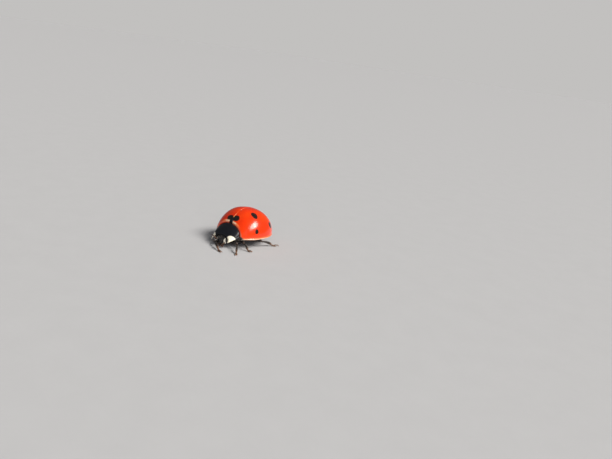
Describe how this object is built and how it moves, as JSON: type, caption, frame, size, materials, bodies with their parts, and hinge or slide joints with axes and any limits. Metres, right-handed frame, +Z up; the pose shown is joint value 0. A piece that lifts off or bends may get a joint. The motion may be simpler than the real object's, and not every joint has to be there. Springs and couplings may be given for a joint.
{
  "type": "seven-spot ladybird",
  "caption": "Life-size model of a seven-spot ladybird, a domed red beetle with black spots, standing on its feet with its wing cases closed and its head bowed.",
  "frame": {"origin": "on the floor, under the middle of the animal's whole footprint, feelers and feet included", "axes": "+Z up, -Y ahead of the head, +X the animal's own left"},
  "size_m": [0.0066, 0.0078, 0.0038],
  "materials": {
    "wing_cases": "glossy orange-red with black spots",
    "shield": "glossy black with cream-white corner patches",
    "underside": "satin black, finely pitted and downy",
    "head": "glossy black with two small cream spots",
    "mouth": "dark brown, paler at the palps",
    "eyes": "glossy black, finely faceted",
    "feelers": "brown with a darker club",
    "legs": "glossy black, browner and hairy at the feet"
  },
  "bodies": {
    "root": {"elytron_left": "wing_cases", "elytron_right": "wing_cases", "scutellum": "shield", "pronotum": "shield", "prothorax": "underside", "thorax": "underside", "abdomen": "underside", "head": "head", "mouth": "mouth", "eye_left": "eyes", "eye_right": "eyes", "antenna_left": "feelers", "antenna_right": "feelers", "left_front_coxa": "legs", "left_front_femur": "legs", "left_front_tibia": "legs", "left_front_tarsus": "legs", "left_middle_coxa": "legs", "left_middle_femur": "legs", "left_middle_tibia": "legs", "left_middle_tarsus": "legs", "left_hind_coxa": "legs", "left_hind_femur": "legs", "left_hind_tibia": "legs", "left_hind_tarsus": "legs", "right_front_coxa": "legs", "right_front_femur": "legs", "right_front_tibia": "legs", "right_front_tarsus": "legs", "right_middle_coxa": "legs", "right_middle_femur": "legs", "right_middle_tibia": "legs", "right_middle_tarsus": "legs", "right_hind_coxa": "legs", "right_hind_femur": "legs", "right_hind_tibia": "legs", "right_hind_tarsus": "legs"}
  },
  "joints": []
}
